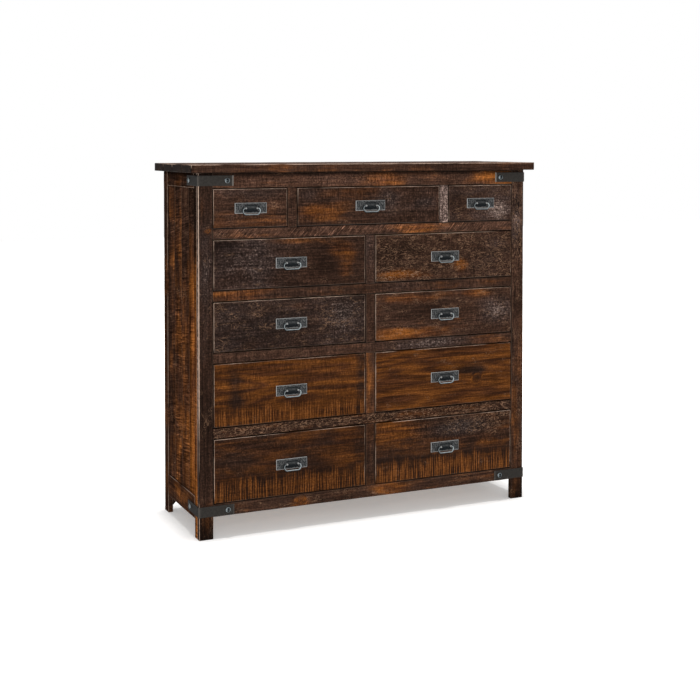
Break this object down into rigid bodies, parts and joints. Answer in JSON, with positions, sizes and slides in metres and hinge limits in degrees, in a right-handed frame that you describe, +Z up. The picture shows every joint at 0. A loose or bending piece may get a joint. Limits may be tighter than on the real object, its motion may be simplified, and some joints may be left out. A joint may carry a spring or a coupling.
{
  "type": "chest of drawers",
  "caption": "Tall double chest of drawers in rough-sawn timber on short stile feet, with inset drawers, hanging bail pulls and iron corner straps.",
  "frame": {"origin": "on the floor under the centre of the top slab", "axes": "+X to the right across the front, -Y out of the front where the drawers open, +Z up"},
  "size_m": [1.512, 0.496, 1.432],
  "materials": {
    "case_wood": "rough-sawn, dark walnut stain with rubbed edges",
    "slab_wood": "rough-sawn planks, dark walnut stain",
    "panel_wood": "rough-sawn upright planks, dark walnut stain",
    "front_wood": "rough-sawn, dark walnut stain with orange-brown highlights",
    "box_wood": "clear-coated pale hardwood with dovetails",
    "inner_wood": "planed, uncoated",
    "back_wood": "stained plywood",
    "strap_iron": "matt blackened iron",
    "bolt_iron": "hammered, rubbed on its facets",
    "pull_plate_metal": "hammered pewter, bright on its edges",
    "bail_metal": "forged pewter, rubbed"
  },
  "bodies": {
    "case": {"top_slab": "slab_wood", "front_stile_left": "case_wood", "front_stile_right": "case_wood", "front_rails": "case_wood", "front_mullions": "case_wood", "end_frame_left": "case_wood", "end_frame_right": "case_wood", "end_panel_left": "panel_wood", "end_panel_right": "panel_wood", "back_panel": "back_wood", "rear_bracket_rail": "case_wood", "drawer_runners": "inner_wood", "drawer_guides": "inner_wood", "slab_frame": "inner_wood", "corner_straps": "strap_iron", "strap_bolts": "bolt_iron"},
    "row1_left_drawer": {"row1_left_front": "front_wood", "row1_left_box": "box_wood", "row1_left_plate": "pull_plate_metal"},
    "row1_left_handle": {"row1_left_bail": "bail_metal"},
    "row1_middle_drawer": {"row1_middle_front": "front_wood", "row1_middle_box": "box_wood", "row1_middle_plate": "pull_plate_metal"},
    "row1_middle_handle": {"row1_middle_bail": "bail_metal"},
    "row1_right_drawer": {"row1_right_front": "front_wood", "row1_right_box": "box_wood", "row1_right_plate": "pull_plate_metal"},
    "row1_right_handle": {"row1_right_bail": "bail_metal"},
    "row2_left_drawer": {"row2_left_front": "front_wood", "row2_left_box": "box_wood", "row2_left_plate": "pull_plate_metal"},
    "row2_left_handle": {"row2_left_bail": "bail_metal"},
    "row2_right_drawer": {"row2_right_front": "front_wood", "row2_right_box": "box_wood", "row2_right_plate": "pull_plate_metal"},
    "row2_right_handle": {"row2_right_bail": "bail_metal"},
    "row3_left_drawer": {"row3_left_front": "front_wood", "row3_left_box": "box_wood", "row3_left_plate": "pull_plate_metal"},
    "row3_left_handle": {"row3_left_bail": "bail_metal"},
    "row3_right_drawer": {"row3_right_front": "front_wood", "row3_right_box": "box_wood", "row3_right_plate": "pull_plate_metal"},
    "row3_right_handle": {"row3_right_bail": "bail_metal"},
    "row4_left_drawer": {"row4_left_front": "front_wood", "row4_left_box": "box_wood", "row4_left_plate": "pull_plate_metal"},
    "row4_left_handle": {"row4_left_bail": "bail_metal"},
    "row4_right_drawer": {"row4_right_front": "front_wood", "row4_right_box": "box_wood", "row4_right_plate": "pull_plate_metal"},
    "row4_right_handle": {"row4_right_bail": "bail_metal"},
    "row5_left_drawer": {"row5_left_front": "front_wood", "row5_left_box": "box_wood", "row5_left_plate": "pull_plate_metal"},
    "row5_left_handle": {"row5_left_bail": "bail_metal"},
    "row5_right_drawer": {"row5_right_front": "front_wood", "row5_right_box": "box_wood", "row5_right_plate": "pull_plate_metal"},
    "row5_right_handle": {"row5_right_bail": "bail_metal"}
  },
  "joints": [
    {"name": "row1_left_slide", "type": "slide", "parent": "case", "child": "row1_left_drawer", "axis": [0, -1, 0], "range_m": [0, 0.33]},
    {"name": "row1_left_swing", "type": "hinge", "parent": "row1_left_drawer", "child": "row1_left_handle", "pos_m": [-0.50925, -0.2313, 1.2635], "axis": [-1, 0, 0], "range_deg": [-12, 192]},
    {"name": "row1_middle_slide", "type": "slide", "parent": "case", "child": "row1_middle_drawer", "axis": [0, -1, 0], "range_m": [0, 0.33]},
    {"name": "row1_middle_swing", "type": "hinge", "parent": "row1_middle_drawer", "child": "row1_middle_handle", "pos_m": [0, -0.2313, 1.2635], "axis": [-1, 0, 0], "range_deg": [-12, 192]},
    {"name": "row1_right_slide", "type": "slide", "parent": "case", "child": "row1_right_drawer", "axis": [0, -1, 0], "range_m": [0, 0.33]},
    {"name": "row1_right_swing", "type": "hinge", "parent": "row1_right_drawer", "child": "row1_right_handle", "pos_m": [0.50925, -0.2313, 1.2635], "axis": [-1, 0, 0], "range_deg": [-12, 192]},
    {"name": "row2_left_slide", "type": "slide", "parent": "case", "child": "row2_left_drawer", "axis": [0, -1, 0], "range_m": [0, 0.33]},
    {"name": "row2_left_swing", "type": "hinge", "parent": "row2_left_drawer", "child": "row2_left_handle", "pos_m": [-0.3415, -0.2313, 1.0475], "axis": [-1, 0, 0], "range_deg": [-12, 192]},
    {"name": "row2_right_slide", "type": "slide", "parent": "case", "child": "row2_right_drawer", "axis": [0, -1, 0], "range_m": [0, 0.33]},
    {"name": "row2_right_swing", "type": "hinge", "parent": "row2_right_drawer", "child": "row2_right_handle", "pos_m": [0.3415, -0.2313, 1.0475], "axis": [-1, 0, 0], "range_deg": [-12, 192]},
    {"name": "row3_left_slide", "type": "slide", "parent": "case", "child": "row3_left_drawer", "axis": [0, -1, 0], "range_m": [0, 0.33]},
    {"name": "row3_left_swing", "type": "hinge", "parent": "row3_left_drawer", "child": "row3_left_handle", "pos_m": [-0.3415, -0.2313, 0.8105], "axis": [-1, 0, 0], "range_deg": [-12, 192]},
    {"name": "row3_right_slide", "type": "slide", "parent": "case", "child": "row3_right_drawer", "axis": [0, -1, 0], "range_m": [0, 0.33]},
    {"name": "row3_right_swing", "type": "hinge", "parent": "row3_right_drawer", "child": "row3_right_handle", "pos_m": [0.3415, -0.2313, 0.8105], "axis": [-1, 0, 0], "range_deg": [-12, 192]},
    {"name": "row4_left_slide", "type": "slide", "parent": "case", "child": "row4_left_drawer", "axis": [0, -1, 0], "range_m": [0, 0.33]},
    {"name": "row4_left_swing", "type": "hinge", "parent": "row4_left_drawer", "child": "row4_left_handle", "pos_m": [-0.3415, -0.2313, 0.548], "axis": [-1, 0, 0], "range_deg": [-12, 192]},
    {"name": "row4_right_slide", "type": "slide", "parent": "case", "child": "row4_right_drawer", "axis": [0, -1, 0], "range_m": [0, 0.33]},
    {"name": "row4_right_swing", "type": "hinge", "parent": "row4_right_drawer", "child": "row4_right_handle", "pos_m": [0.3415, -0.2313, 0.548], "axis": [-1, 0, 0], "range_deg": [-12, 192]},
    {"name": "row5_left_slide", "type": "slide", "parent": "case", "child": "row5_left_drawer", "axis": [0, -1, 0], "range_m": [0, 0.33]},
    {"name": "row5_left_swing", "type": "hinge", "parent": "row5_left_drawer", "child": "row5_left_handle", "pos_m": [-0.3415, -0.2313, 0.2585], "axis": [-1, 0, 0], "range_deg": [-12, 192]},
    {"name": "row5_right_slide", "type": "slide", "parent": "case", "child": "row5_right_drawer", "axis": [0, -1, 0], "range_m": [0, 0.33]},
    {"name": "row5_right_swing", "type": "hinge", "parent": "row5_right_drawer", "child": "row5_right_handle", "pos_m": [0.3415, -0.2313, 0.2585], "axis": [-1, 0, 0], "range_deg": [-12, 192]}
  ]
}
